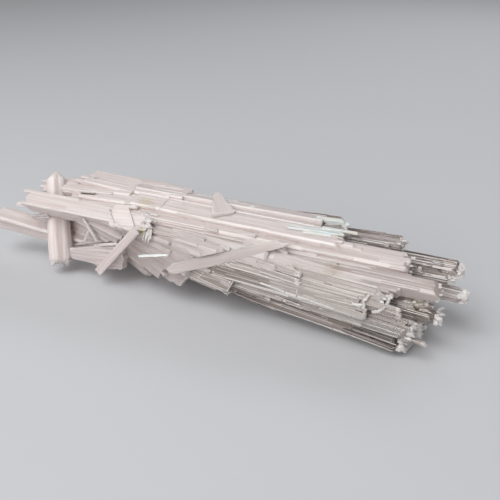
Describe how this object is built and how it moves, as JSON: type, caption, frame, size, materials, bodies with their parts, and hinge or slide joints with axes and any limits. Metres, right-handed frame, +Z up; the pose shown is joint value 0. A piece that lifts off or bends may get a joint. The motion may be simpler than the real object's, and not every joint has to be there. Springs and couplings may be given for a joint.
{
  "type": "scolecite cluster",
  "caption": "Lying sheaf of fanned, intergrown scolecite prisms, milky at the broken end and clear towards the free tips, with loose crystals caught on it.",
  "frame": {"origin": "on the surface the cluster rests on, under the middle of its bounding box", "axes": "+X along the sheaf from its broken milky end to its clear free tips, +Z up, -Y the side that the loose crystals lie on"},
  "size_m": [0.1156, 0.0258, 0.0217],
  "materials": {
    "milky_scolecite": "milky translucent, silky along the prism faces",
    "silky_scolecite": "whitish translucent, silky",
    "clear_scolecite": "clear, glassy"
  },
  "bodies": {
    "root": {"crystal_sheaf": "milky_scolecite", "upright_prism": "silky_scolecite", "tabular_crystal": "milky_scolecite", "short_cross_prism": "silky_scolecite", "cross_blade": "milky_scolecite", "bright_needle": "clear_scolecite", "leaning_needle_long": "silky_scolecite", "leaning_needle_short": "silky_scolecite", "top_flake": "silky_scolecite"}
  },
  "joints": []
}
